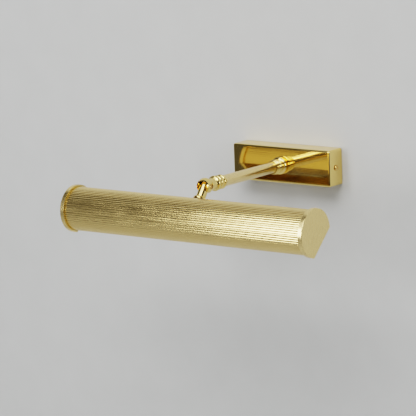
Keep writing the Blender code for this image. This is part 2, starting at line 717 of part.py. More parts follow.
def make_lamp_bracket():
    """A strip under the stem nut, with an ear at each end that holds a lampholder."""
    tangent = STEM_OUT.cross(RIGHT)
    frame = Matrix((RIGHT, -tangent, STEM_OUT)).transposed().to_4x4()
    frame = Matrix.Translation(SHADE_AXIS) @ frame
    outer = EAR_X + EAR_SHEET / 2
    low, high = (-outer, -EAR_HALF, LAMP_STRIP_LOW), (outer, EAR_HALF, LAMP_STRIP_HIGH)
    base = block("lamp_bracket", low, high, ZINC_STEEL)
    base.matrix_world = frame @ base.matrix_world
    carry(base, TILT)
    for name, side in (("left", -1), ("right", 1)):
        x_low, x_high = sorted((side * (outer - EAR_SHEET), side * outer))
        top = LAMP_STRIP_HIGH - 0.1 * MM
        ear = block(f"ear_{name}", (x_low, -EAR_HALF, 0), (x_high, EAR_HALF, top))
        ear.matrix_world = frame @ ear.matrix_world
        carry(ear, TILT)
        eye_start = SHADE_AXIS + RIGHT * x_low
        eye = rod(f"ear_eye_{name}", 8 * MM, eye_start, eye_start + RIGHT * EAR_SHEET, holder=TILT)
        hole_start = SHADE_AXIS + RIGHT * (x_low - MM)
        hole = rod(f"ear_hole_{name}", 5.3 * MM, hole_start, hole_start + RIGHT * 4 * MM, holder=TILT)
        join(base, ear, eye)
        cut(base, hole)
    stem_way = on_stem(18 * MM), on_stem(23 * MM)
    cut(base, rod("bracket_stem_hole", STEM_THREAD + GAP, *stem_way, holder=TILT))


def make_shade():
    """A rolled sheet trough, open towards the wall and downwards."""
    start = Vector((0, math.cos(LIP_START), math.sin(LIP_START)))
    half = SHADE_LENGTH / 2
    mesh = bpy.data.meshes.new("shade")
    mesh.from_pydata([(SHADE_RADIUS, 0, half), (SHADE_RADIUS, 0, -half)], [(0, 1)], [])
    shade = add_object("shade", mesh, facing(SHADE_AXIS, RIGHT, start), SATIN_BRASS, TILT)
    spin(shade, 44, LIP_END - LIP_START)
    thicken(shade, SHADE_SHEET)
    cut(shade, rod("shade_stem_hole", STEM_THREAD + GAP, on_stem(20 * MM), on_stem(26 * MM), holder=TILT))


def mouth_block(name, distance, x_low, x_high, holder):
    """A cutter for everything beyond the plane of the shade's mouth, at a distance from its axis."""
    middle = (LIP_START + LIP_END - math.tau) / 2
    out = Vector((0, math.cos(middle), math.sin(middle)))
    cutter = block(name, (x_low, -0.04, distance), (x_high, 0.04, 0.05))
    frame = Matrix((RIGHT, out.cross(RIGHT), out)).transposed().to_4x4()
    cutter.matrix_world = Matrix.Translation(SHADE_AXIS) @ frame @ cutter.matrix_world
    carry(cutter, holder)
    return cutter


def make_end_caps():
    """D-shaped pressed caps over the shade's ends."""
    half_mouth = (math.tau - LIP_END + LIP_START) / 2
    chord = CAP_RADIUS * math.cos(half_mouth)
    lip = SHADE_RADIUS * math.cos(half_mouth)
    for name, side in (("left", -1), ("right", 1)):
        face = SHADE_LENGTH / 2 + GAP + CAP_SHEET
        inside = SHADE_LENGTH / 2 + GAP
        skirt = SHADE_LENGTH / 2 - CAP_SKIRT
        edge = 0.7 * MM
        profile = [(0, face)]
        profile += arc((CAP_RADIUS - edge, face - edge), edge, 90, 0, 5)
        profile += [(CAP_RADIUS, skirt), (0, skirt)]
        cap = turned(f"end_cap_{name}", profile, SHADE_AXIS, RIGHT * side, POLISHED_BRASS, TILT, steps=44)
        x_low, x_high = sorted((side * (skirt - 2 * MM), side * (face + 2 * MM)))
        cut(cap, mouth_block(f"cap_chord_{name}", chord, x_low, x_high, TILT))
        ends = [SHADE_AXIS + RIGHT * side * x for x in (skirt - MM, inside)]
        hollow = rod(f"cap_hollow_{name}", SHADE_RADIUS + GAP, *ends, holder=TILT, sides=44)
        cut(hollow, mouth_block(f"hollow_chord_{name}", lip + GAP, x_low, x_high, TILT))
        cut(cap, hollow)


def make_lamps():
    """Two lampholders back to back, with a tubular lamp in each."""
    for name, side in (("left", -1), ("right", 1)):
        out = RIGHT * side
        back = EAR_X + EAR_SHEET / 2 + GAP
        thread, bore = HOLDER_THREAD, 2.6 * MM
        mouth = LAMP_CAP_RADIUS + 0.7 * MM
        seat = back + 9 * MM
        profile = [(mouth, HOLDER_END_X), (HOLDER_RADIUS - MM, HOLDER_END_X)]
        profile += [(HOLDER_RADIUS, HOLDER_END_X - MM)]
        profile += [(HOLDER_RADIUS, back + 4 * MM), (9 * MM, back), (thread, back), (thread, 4 * MM)]
        profile += [(bore, 4 * MM), (bore, seat), (mouth, seat)]
        turned(f"lampholder_{name}", profile, SHADE_AXIS, out, BLACK_BAKELITE, TILT, hollow=True)
        nut_start = SHADE_AXIS + out * (EAR_X - EAR_SHEET / 2 - GAP)
        nut = f"lampholder_nut_{name}"
        hex_nut(nut, 13 * MM, thread + GAP, nut_start, -out, 3 * MM, ZINC_STEEL, TILT, STEM_OUT)
        cap_end = HOLDER_END_X + 1.2 * MM
        shell = LAMP_CAP_RADIUS - MM
        profile = [(shell, cap_end), (LAMP_CAP_RADIUS, cap_end), (LAMP_CAP_RADIUS, seat + 4 * MM)]
        profile += [(4 * MM, seat + 1.5 * MM), (2 * MM, seat + 0.6 * MM), (0, seat + 0.6 * MM)]
        profile += [(0, seat + 4 * MM), (shell, seat + 5 * MM)]
        turned(f"lamp_cap_{name}", profile, SHADE_AXIS, out, NICKEL, TILT, hollow=True, steps=18)
        neck = cap_end + GAP
        inside = BULB_RADIUS - BULB_GLASS
        end = 9 * MM
        profile = [(0, BULB_END_X)]
        profile += arc((BULB_RADIUS - end, BULB_END_X - end), end, 78, 0, 5)
        profile += [(BULB_RADIUS, neck + end), (10.6 * MM, neck + 4 * MM), (6.8 * MM, neck)]
        profile += [(5.8 * MM, neck), (inside - 2 * MM, neck + 4.5 * MM), (inside, neck + end)]
        profile += [(inside, BULB_END_X - end), (inside - 5 * MM, BULB_END_X - 2.5 * MM)]
        profile += [(0, BULB_END_X - BULB_GLASS)]
        turned(f"bulb_{name}", profile, SHADE_AXIS, out, LAMP_GLASS, TILT)
        points = [
            SHADE_AXIS + out * 3.6 * MM,
            SHADE_AXIS + out * 2.6 * MM + STEM_OUT * 3.5 * MM,
            SHADE_AXIS + out * 1.6 * MM + STEM_OUT * 8 * MM,
            SHADE_AXIS + out * 1.3 * MM + STEM_OUT * 13 * MM,
            SHADE_AXIS + out * 1.3 * MM + STEM_OUT * 30 * MM,
        ]
        wire(f"lamp_lead_{name}", 1.1 * MM, smooth_route(points, 4), FLEX_SHEATH, TILT)


make_wall_bracket()
make_box_cover()
make_cover_screws()
make_terminal_block()
make_terminal_metal()
make_earth_screw()
make_arm_fixing()
make_wall_collar()
make_arm_tube()
make_arm_ferrule()
make_swivel_nipple()
make_arm_wiring()
make_knuckle()
make_knuckle_lock_ring()
make_stem()
make_stem_fixings()
make_lamp_bracket()
make_shade()
make_end_caps()
make_lamps()
bpy.context.view_layer.update()
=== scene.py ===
# %% [markdown]
# # A polished brass picture light
#
# This lesson dresses a brass picture light: a small wall box, a straight arm, a knuckle and a long
# trough shade that throws light back on a painting. The mechanical model gives every part its size
# and place. What is added here is what the eye reads as brass: round edges, true reeds, clean
# turned beads, and materials with the fine marks of polishing.

import json
import math

import bpy
from mathutils import Matrix, Vector


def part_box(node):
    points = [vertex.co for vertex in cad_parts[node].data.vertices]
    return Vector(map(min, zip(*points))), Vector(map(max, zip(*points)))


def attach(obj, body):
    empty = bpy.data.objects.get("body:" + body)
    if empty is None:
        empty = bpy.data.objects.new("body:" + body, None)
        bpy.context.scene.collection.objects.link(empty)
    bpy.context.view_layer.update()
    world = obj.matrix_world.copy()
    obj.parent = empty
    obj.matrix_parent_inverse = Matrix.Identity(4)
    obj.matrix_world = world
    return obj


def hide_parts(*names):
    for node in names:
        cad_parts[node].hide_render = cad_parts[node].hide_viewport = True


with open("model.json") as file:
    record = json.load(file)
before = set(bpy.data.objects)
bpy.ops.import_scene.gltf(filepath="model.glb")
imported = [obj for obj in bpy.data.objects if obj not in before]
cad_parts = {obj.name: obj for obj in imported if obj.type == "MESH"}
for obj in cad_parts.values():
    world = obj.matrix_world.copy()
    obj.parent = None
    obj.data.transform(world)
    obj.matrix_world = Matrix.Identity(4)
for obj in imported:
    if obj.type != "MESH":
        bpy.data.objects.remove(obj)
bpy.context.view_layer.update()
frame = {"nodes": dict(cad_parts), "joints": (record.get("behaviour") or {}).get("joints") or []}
MM = 0.001
WALL, KNUCKLE, HEAD = "wall_unit", "knuckle", "shade_head"

# %% [markdown]
# ## Where things are
#
# Every place below comes from the model, so nothing is measured twice. The arm runs out from the
# wall along -Y. The shade's axis runs along X; its middle is the middle of the lamps, which lie on
# that axis. The two joints say where the knuckle turns.

# %% Read the places that the new pieces need
RIGHT, OUT, UP = Vector((1, 0, 0)), Vector((0, -1, 0)), Vector((0, 0, 1))


def middle(node):
    """The middle of a node's box."""
    low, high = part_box(node)
    return (Vector(low) + Vector(high)) / 2


def span(node, axis):
    """A node's lowest and highest place along X, Y or Z."""
    low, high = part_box(node)
    index = "xyz".index(axis)
    return low[index], high[index]


JOINTS = {joint["name"]: joint for joint in frame["joints"]}
PIVOT = Vector(JOINTS["shade_tilt"]["pos_m"])
LAMP_LINE = middle("bulb_left")
SHADE_AXIS = Vector((0, LAMP_LINE.y, LAMP_LINE.z))
STEM_OUT = (PIVOT - SHADE_AXIS).normalized()
PIVOT_RADIUS = (PIVOT - SHADE_AXIS).length
print("pivot", [round(v, 4) for v in PIVOT], "shade axis", [round(v, 4) for v in SHADE_AXIS])

# %% [markdown]
# ## The camera
#
# The light is seen from a little above and from the right, through a long lens, so that the shade
# hardly narrows towards its far end. The camera is rolled a little, which makes the shade fall away
# to the right. The Filmic view rolls bright reflections off towards white, as film
# does, where the Standard view would cut them off at a hard yellow.

# %% Camera
CAMERA_AZIMUTH = 37.0
CAMERA_ELEVATION = 10.6
CAMERA_ROLL = -2.07
CAMERA_DISTANCE = 3.2096
CAMERA_TARGET = Vector((-0.0714, -0.06, -0.0459))
CAMERA_LENS = 259.6


def direction(azimuth, elevation):
    """A unit vector towards a viewer at this azimuth and elevation, in degrees."""
    a, e = math.radians(azimuth), math.radians(elevation)
    return Vector((math.sin(a) * math.cos(e), -math.cos(a) * math.cos(e), math.sin(e)))


back = direction(CAMERA_AZIMUTH, CAMERA_ELEVATION)
camera = bpy.data.objects.new("camera", bpy.data.cameras.new("camera"))
bpy.context.collection.objects.link(camera)
camera.data.lens = CAMERA_LENS
camera.data.clip_end = 30
camera.rotation_mode = "QUATERNION"
roll = Matrix.Rotation(math.radians(CAMERA_ROLL), 4, "Z")
turn = (-back).to_track_quat("-Z", "Y").to_matrix().to_4x4() @ roll
camera.matrix_world = Matrix.Translation(CAMERA_TARGET + back * CAMERA_DISTANCE) @ turn
bpy.context.scene.camera = camera
bpy.context.scene.view_settings.view_transform = "Filmic"
bpy.context.scene.view_settings.look = "High Contrast"
print("camera at", [round(v, 3) for v in camera.matrix_world.translation])

# %% [markdown]
# ## Shader sums
#
# A node tree is easier to read as arithmetic. `Value` wraps one socket, so that `a * 2 + b` adds
# the Math nodes for it, and `Finish` holds one material and adds any other node with `make`.

# %% Shader helpers
OBJECT_POINT = 3  # the Object output of a Texture Coordinate node
BACKFACING = 6  # the Backfacing output of a Geometry node


class Value:
    """One output socket. Arithmetic on it adds Math nodes."""

    def __init__(self, finish, socket):
        self.finish, self.socket = finish, socket

    def math(self, operation, *others):
        inputs = dict(enumerate((self, *others)))
        return self.finish.make("ShaderNodeMath", {"operation": operation}, inputs)

    def __add__(self, other):
        return self.math("ADD", other)

    def __sub__(self, other):
        return self.math("SUBTRACT", other)

    def __mul__(self, other):
        return self.math("MULTIPLY", other)

    def __rsub__(self, other):
        return (self * -1) + other

    __radd__, __rmul__ = __add__, __mul__


class Finish:
    """A material and its nodes."""

    def __init__(self, name):
        self.material = bpy.data.materials.new(name)
        self.material.use_nodes = True
        self.tree = self.material.node_tree
        self.surface = self.tree.nodes["Principled BSDF"]

    def feed(self, socket, value):
        if isinstance(value, Value):
            self.tree.links.new(value.socket, socket)
        else:
            socket.default_value = value

    def make(self, kind, settings=None, inputs=None, output=0):
        """Adds a node: its settings first, then the values or links of its sockets."""
        node = self.tree.nodes.new(kind)
        for name, value in (settings or {}).items():
            setattr(node, name, value)
        for name, value in (inputs or {}).items():
            self.feed(node.inputs[name], value)
        return Value(self, node.outputs[output])

    def set(self, **sockets):
        """Sets the main shader's sockets, written with _ for a space."""
        for name, value in sockets.items():
            self.feed(self.surface.inputs[name.replace("_", " ")], value)
        return self

    def place(self, stretch=(1, 1, 1)):
        """The point on the object, with each axis scaled."""
        point = self.make("ShaderNodeTexCoord", output=OBJECT_POINT)
        return self.make("ShaderNodeMapping", {}, {"Vector": point, "Scale": stretch})

    def noise(self, scale, stretch=(1, 1, 1), detail=3.0, roughness=0.5):
        inputs = {
            "Vector": self.place(stretch),
            "Scale": scale,
            "Detail": detail,
            "Roughness": roughness,
        }
        return self.make("ShaderNodeTexNoise", {}, inputs)

    def span(self, value, low, high, to_low=0.0, to_high=1.0):
        """Maps a value from one range to another, and stops at its ends."""
        inputs = {
            "Value": value,
            "From Min": low,
            "From Max": high,
            "To Min": to_low,
            "To Max": to_high,
        }
        return self.make("ShaderNodeMapRange", {"clamp": True}, inputs)

    def blend(self, factor, first, second):
        """A colour between two colours."""
        first = first if isinstance(first, Value) else (*first, 1)
        second = second if isinstance(second, Value) else (*second, 1)
        inputs = {0: factor, 6: first, 7: second}
        return self.make("ShaderNodeMix", {"data_type": "RGBA"}, inputs, output=2)

    def bump(self, height, distance, strength=1.0):
        inputs = {"Height": height, "Distance": distance, "Strength": strength}
        return self.make("ShaderNodeBump", {}, inputs)


print("shader helpers ready")

# %% [markdown]
# ## Brass, and the other metals
#
# Polished brass is one metal colour, but never one roughness. The buffing wheel leaves fine lines,
# the lacquer has a slow unevenness, and a little dark polish stays in patches and along the lines.
# Each brass below mixes those three at the scale that the piece shows. `grain` stretches the lines
# along the way that the wheel ran: along the shade and the arm, down the end caps, and round the
# turned beads.

# %% Metal finishes
TARNISH_TINT = (0.86, 0.80, 0.66)
GOLD = (0.93, 0.71, 0.29)
ALONG_X, ALONG_Y, ALONG_Z, ALL_WAYS = (0.02, 1, 1), (1, 0.02, 1), (1, 1, 0.02), (1, 1, 1)
ROUND_Y = (0.03, 1, 0.03)


def brass(name, color, rough, grain, tarnish, scratch=0.01 * MM, cloud_scale=28, line_scale=900):
    """Polished brass. Grain is the stretch of its buffing lines, scratch is their depth."""
    finish = Finish(name)
    clouds = finish.noise(cloud_scale, detail=4)
    lines = finish.noise(line_scale, grain, detail=2)
    darker = tuple(part * factor for part, factor in zip(color, TARNISH_TINT))
    stain = finish.span(clouds, 0.45, 0.75, 0, tarnish)
    tint = finish.blend(stain + finish.span(lines, 0.3, 0.8, 0, tarnish), color, darker)
    uneven = finish.span(clouds, 0.3, 0.7, 0.85, 1.2)
    streaks = finish.span(lines, 0.35, 0.7, 0.8, 1.3)
    finish.set(
        Base_Color=tint,
        Metallic=1.0,
        Roughness=uneven * streaks * rough,
        Normal=finish.bump(lines, scratch, 0.35),
    )
    return finish.material


BOX_BRASS = brass("box_brass", GOLD, 0.045, ALONG_X, 0.08, 0.004 * MM)
CAP_BRASS = brass("end_cap_brass", (0.93, 0.73, 0.35), 0.24, ALONG_Z, 0.04, 0.0004 * MM, 14, 4500)
REED_BRASS = brass("reeded_brass", (0.93, 0.71, 0.32), 0.16, ALONG_X, 0.03, 0.0004 * MM, 20, 1800)
ARM_BRASS = brass("arm_brass", (0.94, 0.74, 0.38), 0.22, ALONG_Y, 0.06, 0.001 * MM, 28, 2600)
TURNED_BRASS = brass("turned_brass", GOLD, 0.06, ROUND_Y, 0.08, 0.002 * MM)
SCREW_BRASS = brass("screw_brass", (0.83, 0.56, 0.22), 0.20, ALL_WAYS, 0.25)
PLAIN_BRASS = brass("plain_brass", (0.78, 0.58, 0.22), 0.34, ALL_WAYS, 0.35)
print("brass finishes:", BOX_BRASS.name, REED_BRASS.name, ARM_BRASS.name, TURNED_BRASS.name)


def plated(name, color, rough, mottle):
    """A plated steel: a cool metal with a mottled, slightly dusty surface."""
    finish = Finish(name)
    patches = finish.noise(260, detail=5, roughness=0.65)
    fine = finish.noise(2500, detail=2)
    pale = tuple(min(1, part * 1.18) for part in color)
    finish.set(
        Base_Color=finish.blend(finish.span(patches, 0.35, 0.65, 0, mottle), color, pale),
        Metallic=1.0,
        Roughness=finish.span(patches, 0.3, 0.7, rough * 0.8, rough * 1.25),
        Normal=finish.bump(fine, 0.01 * MM, 0.5),
    )
    return finish.material


ZINC = plated("zinc_plate", (0.60, 0.61, 0.62), 0.36, 0.9)
NICKEL = plated("nickel_plate", (0.72, 0.69, 0.63), 0.22, 0.4)

# %% [markdown]
# ## Plastics, glass and wire
#
# The parts that a visitor never sees still get real finishes: ivory urea for the terminal block,
# dark phenolic for the lampholders with a faint flow pattern, clear glass for the lamps, and
# slightly waxy PVC on the wires.

# %% Plastic and glass finishes


def moulded(name, color, rough, grain_scale, depth, flow_color=None):
    """A moulded plastic with a fine orange-peel skin and slow flow marks."""
    finish = Finish(name)
    skin = finish.noise(grain_scale, detail=3)
    flow = finish.noise(90, (1, 1, 0.4), detail=5)
    second = flow_color or tuple(part * 0.8 for part in color)
    finish.set(
        Base_Color=finish.blend(finish.span(flow, 0.35, 0.7, 0, 0.6), color, second),
        Roughness=finish.span(skin, 0.3, 0.7, rough * 0.85, rough * 1.2),
        Normal=finish.bump(skin, depth, 0.4),
    )
    return finish.material


IVORY = moulded("ivory_urea", (0.74, 0.72, 0.64), 0.42, 1400, 0.03 * MM)
PHENOLIC_FLOW = (0.035, 0.022, 0.014)
PHENOLIC = moulded("black_phenolic", (0.016, 0.013, 0.011), 0.28, 1100, 0.02 * MM, PHENOLIC_FLOW)
SHEATH = moulded("gold_sheath", (0.50, 0.37, 0.13), 0.42, 1800, 0.02 * MM)
BROWN_CORE = moulded("brown_core", (0.16, 0.06, 0.025), 0.4, 2000, 0.01 * MM)
BLUE_CORE = moulded("blue_core", (0.03, 0.10, 0.38), 0.4, 2000, 0.01 * MM)
GREEN_CORE = moulded("green_core", (0.14, 0.38, 0.05), 0.4, 2000, 0.01 * MM)


def clear_glass():
    """Drawn glass tube, clear, with slow ripples along it."""
    finish = Finish("lamp_glass")
    ripple = finish.noise(60, (0.3, 1, 1), detail=2)
    finish.set(
        Base_Color=(0.97, 0.98, 0.97, 1),
        Roughness=finish.span(ripple, 0.3, 0.7, 0.0, 0.03),
        IOR=1.47,
        Transmission_Weight=1.0,
        Normal=finish.bump(ripple, 0.2 * MM, 0.15),
    )
    return finish.material


GLASS = clear_glass()
print("other finishes:", ZINC.name, NICKEL.name, IVORY.name, PHENOLIC.name, GLASS.name)

# %% [markdown]
# ## Modelling tools
#
# Almost every piece of this light was made on a lathe. `lathe` works like one: it adds a circle and
# extrudes it ring by ring along a profile. The piece is made standing on the origin, along Z, and
# then laid in its place, with the place applied to its mesh.

# %% Modelling helpers
POLE = 0.02 * MM  # the radius of the tiny circle that stands for a point on a turned piece's axis


def deselect():
    """Leaves edit mode and selects nothing."""
    if bpy.context.mode != "OBJECT":
        bpy.ops.object.mode_set(mode="OBJECT")
    bpy.ops.object.select_all(action="DESELECT")


def edit(obj):
    """Opens a piece in edit mode with everything selected."""
    deselect()
    obj.select_set(True)
    bpy.context.view_layer.objects.active = obj
    bpy.ops.object.mode_set(mode="EDIT")
    bpy.ops.mesh.select_all(action="SELECT")


def facing(origin, along, side=None):
    """A matrix whose Z runs along a direction and, if side is given, whose X runs along side."""
    along = Vector(along).normalized()
    if side is None:
        turned = UP.rotation_difference(along).to_matrix()
    else:
        side = Vector(side).normalized()
        turned = Matrix((side, along.cross(side), along)).transposed()
    return Matrix.Translation(origin) @ turned.to_4x4()


def lay(obj, place):
    """Puts a piece in its place and applies the place to its mesh."""
    deselect()
    obj.matrix_world = place
    obj.select_set(True)
    bpy.context.view_layer.objects.active = obj
    bpy.ops.object.transform_apply(location=True, rotation=True, scale=True)


def mend(obj):
    """Merges doubles and turns every face outwards."""
    edit(obj)
    bpy.ops.mesh.remove_doubles(threshold=1e-6)
    bpy.ops.mesh.normals_make_consistent(inside=False)
    bpy.ops.object.mode_set(mode="OBJECT")


def soften(obj, angle=30):
    """Smooth shading, with edges sharper than the angle kept crisp."""
    deselect()
    obj.select_set(True)
    bpy.context.view_layer.objects.active = obj
    bpy.ops.object.shade_smooth_by_angle(angle=math.radians(angle))


def apply_all(obj):
    """Applies every modifier, in order."""
    deselect()
    obj.select_set(True)
    bpy.context.view_layer.objects.active = obj
    for modifier in list(obj.modifiers):
        bpy.ops.object.modifier_apply(modifier=modifier.name)


def flatten(obj, angle):
    """Smooth shading in which a big flat face keeps its own normal and the bends take the rest."""
    soften(obj, angle)
    weighted = obj.modifiers.new("Flat faces", "WEIGHTED_NORMAL")
    weighted.weight = 100
    weighted.keep_sharp = True
    apply_all(obj)


def arc(centre, radius, start, end, count):
    """Points of an arc in a profile; angles in degrees from the outward direction."""
    points = []
    for i in range(count):
        angle = math.radians(start + (end - start) * i / (count - 1))
        points.append((centre[0] + radius * math.cos(angle), centre[1] + radius * math.sin(angle)))
    return points


def lathe(name, profile, origin, along, sides=96, hollow=False):
    """Turns (radius, height) points into a piece. A hollow profile is a closed loop."""
    deselect()
    radius, height = profile[0]
    fill = "NOTHING" if hollow else "NGON"
    bpy.ops.mesh.primitive_circle_add(
        vertices=sides, radius=radius, location=(0, 0, height), fill_type=fill
    )
    obj = bpy.context.object
    obj.name = obj.data.name = name
    bpy.ops.object.transform_apply(location=True)
    edit(obj)
    for (radius, height), (next_radius, next_height) in zip(profile, profile[1:]):
        rise = {"value": (0, 0, next_height - height)}
        if hollow:
            bpy.ops.mesh.extrude_edges_move(TRANSFORM_OT_translate=rise)
        else:
            bpy.ops.mesh.extrude_region_move(TRANSFORM_OT_translate=rise)
        size = next_radius / radius
        bpy.ops.transform.resize(value=(size, size, 1), center_override=(0, 0, next_height))
    if hollow:
        bpy.ops.object.mode_set(mode="OBJECT")
        first, last = range(sides), range(len(obj.data.vertices) - sides, len(obj.data.vertices))
        ends = {*first, *last}
        for vertex in obj.data.vertices:
            vertex.select = vertex.index in ends
        for edge in obj.data.edges:
            edge.select = set(edge.vertices) <= set(first) or set(edge.vertices) <= set(last)
        for polygon in obj.data.polygons:
            polygon.select = False
        bpy.ops.object.mode_set(mode="EDIT")
        bpy.ops.mesh.select_mode(type="EDGE")
        bpy.ops.mesh.bridge_edge_loops()
        bpy.ops.mesh.select_mode(type="VERT")
    lay(obj, facing(origin, along))
    mend(obj)
    soften(obj, 32)
    return obj


def rod(name, radius, start, end, sides=48):
    """A plain cylinder between two points, used to cut with."""
    start, end = Vector(start), Vector(end)
    deselect()
    bpy.ops.mesh.primitive_cylinder_add(vertices=sides, radius=radius, depth=(end - start).length)
    obj = bpy.context.object
    obj.name = name
    lay(obj, facing((start + end) / 2, end - start))
    return obj


def block(name, low, high):
    """A box between two corners."""
    low, high = Vector(low), Vector(high)
    deselect()
    bpy.ops.mesh.primitive_cube_add(size=1, location=(low + high) / 2, scale=high - low)
    obj = bpy.context.object
    obj.name = obj.data.name = name
    bpy.ops.object.transform_apply(location=True, rotation=True, scale=True)
    return obj


def carve(obj, *cutters):
    """Cuts other pieces out of a piece, and throws them away."""
    for cutter in cutters:
        boolean = obj.modifiers.new("Cut", "BOOLEAN")
        boolean.operation = "DIFFERENCE"
        boolean.object = cutter
        apply_all(obj)
        bpy.data.objects.remove(cutter, do_unlink=True)
    return obj


def round_off(obj, chosen, width, segments):
    """Bevels the edges that a test picks."""
    edit(obj)
    bpy.ops.mesh.select_mode(type="EDGE")
    bpy.ops.mesh.select_all(action="DESELECT")
    bpy.ops.object.mode_set(mode="OBJECT")
    picked = [edge.index for edge in obj.data.edges if chosen(edge)]
    for index in picked:
        obj.data.edges[index].select = True
    bpy.ops.object.mode_set(mode="EDIT")
    bpy.ops.mesh.bevel(offset=width, segments=segments, affect="EDGES", profile=0.5)
    bpy.ops.mesh.select_mode(type="VERT")
    bpy.ops.object.mode_set(mode="OBJECT")


def clean(obj, reach=0.02 * MM):
    """Removes the slivers that cuts and bevels leave behind."""
    edit(obj)
    bpy.ops.mesh.remove_doubles(threshold=reach)
    bpy.ops.mesh.dissolve_degenerate(threshold=reach)
    bpy.ops.mesh.normals_make_consistent(inside=False)
    bpy.ops.object.mode_set(mode="OBJECT")
    counts = {}
    for polygon in obj.data.polygons:
        for key in polygon.edge_keys:
            counts[key] = counts.get(key, 0) + 1
    print(obj.name, "open edges:", sum(count != 2 for count in counts.values()))


def dress(obj, body, material, slot, *nodes):
    """Gives a finished piece its material, its body and the nodes that it stands for."""
    obj.data.materials.clear()
    obj.data.materials.append(material)
    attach(obj, body)
    if nodes:
        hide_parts(*nodes)
    print(f"{obj.name}: {len(obj.data.polygons)} faces")
    return obj


print("modelling helpers ready")

# %% [markdown]
# ## The reeded shade
#
# The trough is a rolled brass sheet with fine lengthwise reeds, sixty to a full turn. Each reed has
# a broad crown and a narrow groove beside it. The crowns together make one solid band of light,
# and the grooves draw the thin lines above and below it. The piece starts as a circle with twelve
# points to a reed. The points in the grooves are pulled in towards the axis, the gap of the mouth
# is deleted, and what is left is drawn out along the lamps and given its sheet thickness.

# %% Reeded shade
SHADE_RADIUS = span("shade", "z")[1] - SHADE_AXIS.z
SHADE_HALF = span("shade", "x")[1]
UPPER_LIP, LOWER_LIP = math.radians(4.4), math.radians(262.3)
REEDS, POINTS = 60, 12
REED_DEPTH = 0.26 * MM
GROOVE_SHARE = 0.62  # of half a reed
SHEET = 0.7 * MM


def make_shade():
    """Pulls in the grooves of a circle, opens its mouth and draws it out into a sheet."""
    deselect()
    sides = REEDS * POINTS
    bpy.ops.mesh.primitive_circle_add(vertices=sides, radius=SHADE_RADIUS, fill_type="NOTHING")
    shade = bpy.context.object
    shade.name = shade.data.name = "reeded_shade"
    first_point = Vector((0, math.cos(UPPER_LIP), math.sin(UPPER_LIP)))
    lay(shade, facing((0, 0, 0), RIGHT, first_point))
    step = math.tau / sides
    for place in range(POINTS // 2 + 1):
        across = 2 * place / POINTS  # 0 at the bottom of the groove, 1 in the middle of the crown
        if across >= GROOVE_SHARE:
            break
        drop = REED_DEPTH * (0.5 + 0.5 * math.cos(math.pi * across / GROOVE_SHARE))
        edit(shade)
        bpy.ops.mesh.select_all(action="DESELECT")
        bpy.ops.object.mode_set(mode="OBJECT")
        for vertex in shade.data.vertices:
            angle = math.atan2(vertex.co.z, vertex.co.y) - UPPER_LIP
            index = round(angle / step) % POINTS
            vertex.select = min(index, POINTS - index) == place
        bpy.ops.object.mode_set(mode="EDIT")
        size = 1 - drop / SHADE_RADIUS
        bpy.ops.transform.resize(value=(1, size, size), center_override=(0, 0, 0))
    edit(shade)
    bpy.ops.mesh.select_all(action="DESELECT")
    bpy.ops.object.mode_set(mode="OBJECT")
    for vertex in shade.data.vertices:
        angle = math.atan2(vertex.co.z, vertex.co.y) % math.tau
        vertex.select = not UPPER_LIP - step / 2 < angle < LOWER_LIP + step / 2
    bpy.ops.object.mode_set(mode="EDIT")
    bpy.ops.mesh.delete(type="VERT")
    bpy.ops.mesh.select_all(action="SELECT")
    bpy.ops.transform.translate(value=(-SHADE_HALF, 0, 0))
    bpy.ops.mesh.extrude_edges_move(TRANSFORM_OT_translate={"value": (2 * SHADE_HALF, 0, 0)})
    lay(shade, Matrix.Translation(SHADE_AXIS))
    mend(shade)
    outside = shade.data.polygons[len(shade.data.polygons) // 2]
    if outside.normal.dot(outside.center - SHADE_AXIS) < 0:
        edit(shade)
        bpy.ops.mesh.flip_normals()
        bpy.ops.object.mode_set(mode="OBJECT")
    solidify = shade.modifiers.new("Sheet", "SOLIDIFY")
    solidify.thickness = SHEET
    solidify.offset = -1
    apply_all(shade)
    hole_radius = span("stem_nut", "x")[1] * 0.72
    inner, outer = SHADE_AXIS + STEM_OUT * 18 * MM, SHADE_AXIS + STEM_OUT * 27 * MM
    carve(shade, rod("hole", hole_radius, inner, outer))
    soften(shade, 24)
    return dress(shade, HEAD, REED_BRASS, "satin_brass", "shade")


make_shade()

# %% [markdown]
# ## The end caps
#
# Each end is closed by a pressed D-shaped cap: a flat face, a softly rounded rim and a short skirt
# that slips over the reeds. A filled circle is cut straight across the mouth, drawn out to the
# depth of the skirt, rounded at its rim, and hollowed from behind.

# %% End caps
MOUTH_HALF = (math.tau - LOWER_LIP + UPPER_LIP) / 2
MOUTH_MIDDLE = (UPPER_LIP + LOWER_LIP - math.tau) / 2
MOUTH_OUT = Vector((0, math.cos(MOUTH_MIDDLE), math.sin(MOUTH_MIDDLE)))
CAP_RIM, CAP_CORNER = 0.55 * MM, 1.2 * MM
CAP_SHEET = 1.2 * MM


